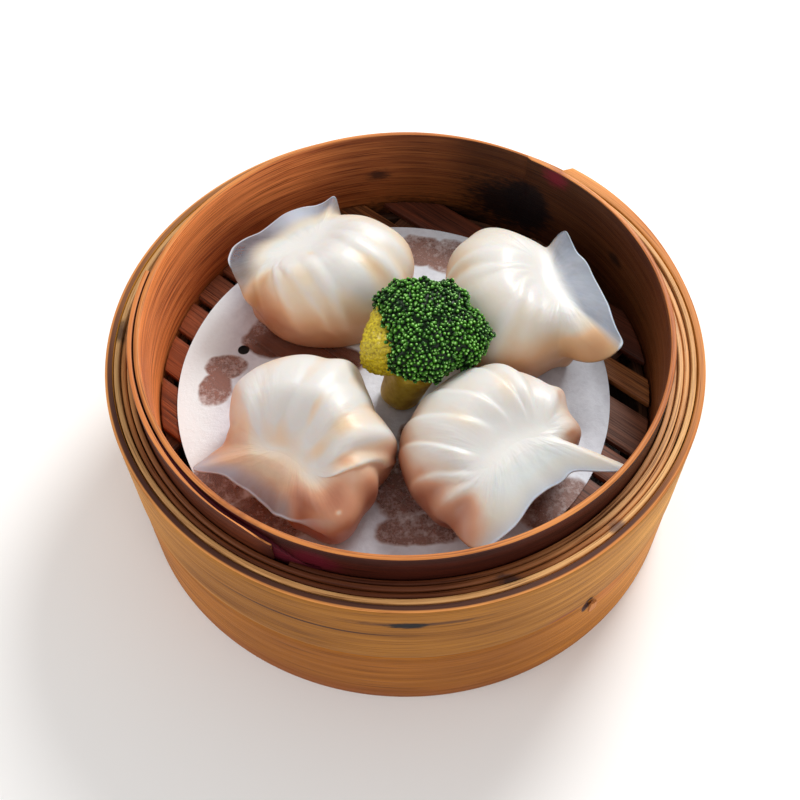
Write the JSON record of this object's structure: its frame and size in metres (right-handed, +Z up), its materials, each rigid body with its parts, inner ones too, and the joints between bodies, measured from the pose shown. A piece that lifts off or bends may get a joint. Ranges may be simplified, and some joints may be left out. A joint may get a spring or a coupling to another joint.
{
  "type": "har gow dumplings in a bamboo steamer basket",
  "caption": "Steamed har gow with pleated translucent skins round a broccoli floret, on a paper liner in a small round bamboo steamer basket.",
  "frame": {"origin": "centre of the basket's circular foot, on the surface it stands on", "axes": "+Z up along the basket's axis; -Y is the side that faces the diner; +X to the diner's right"},
  "size_m": [0.16, 0.1596, 0.0744],
  "materials": {
    "cane": "satin",
    "cane_pale": "satin",
    "cane_red": "satin",
    "cane_skin": "satin",
    "cane_dark": "matte",
    "paper": "matte",
    "dough": "gloss",
    "broccoli": "satin"
  },
  "bodies": {
    "root": {"inner_hoop": "cane", "hoop_lap": "cane", "foot_ring": "cane_dark", "ply_1": "cane_red", "ply_2": "cane_red", "ply_3": "cane_red", "ply_4": "cane_pale", "upper_band": "cane", "lower_band": "cane", "wall_pin": "cane_skin", "floor_slat_1": "cane_dark", "floor_slat_2": "cane_dark", "floor_slat_3": "cane_dark", "floor_slat_4": "cane_dark", "floor_slat_5": "cane_dark", "floor_slat_6": "cane_dark", "floor_slat_7": "cane_dark", "floor_slat_8": "cane_dark", "floor_slat_9": "cane_dark", "floor_beam_1": "cane_dark", "floor_beam_2": "cane_dark", "floor_beam_3": "cane_dark", "paper_liner": "paper", "dumpling_back_left": "dough", "dumpling_back_right": "dough", "dumpling_front_left": "dough", "dumpling_front_right": "dough", "broccoli_floret": "broccoli"}
  },
  "joints": []
}
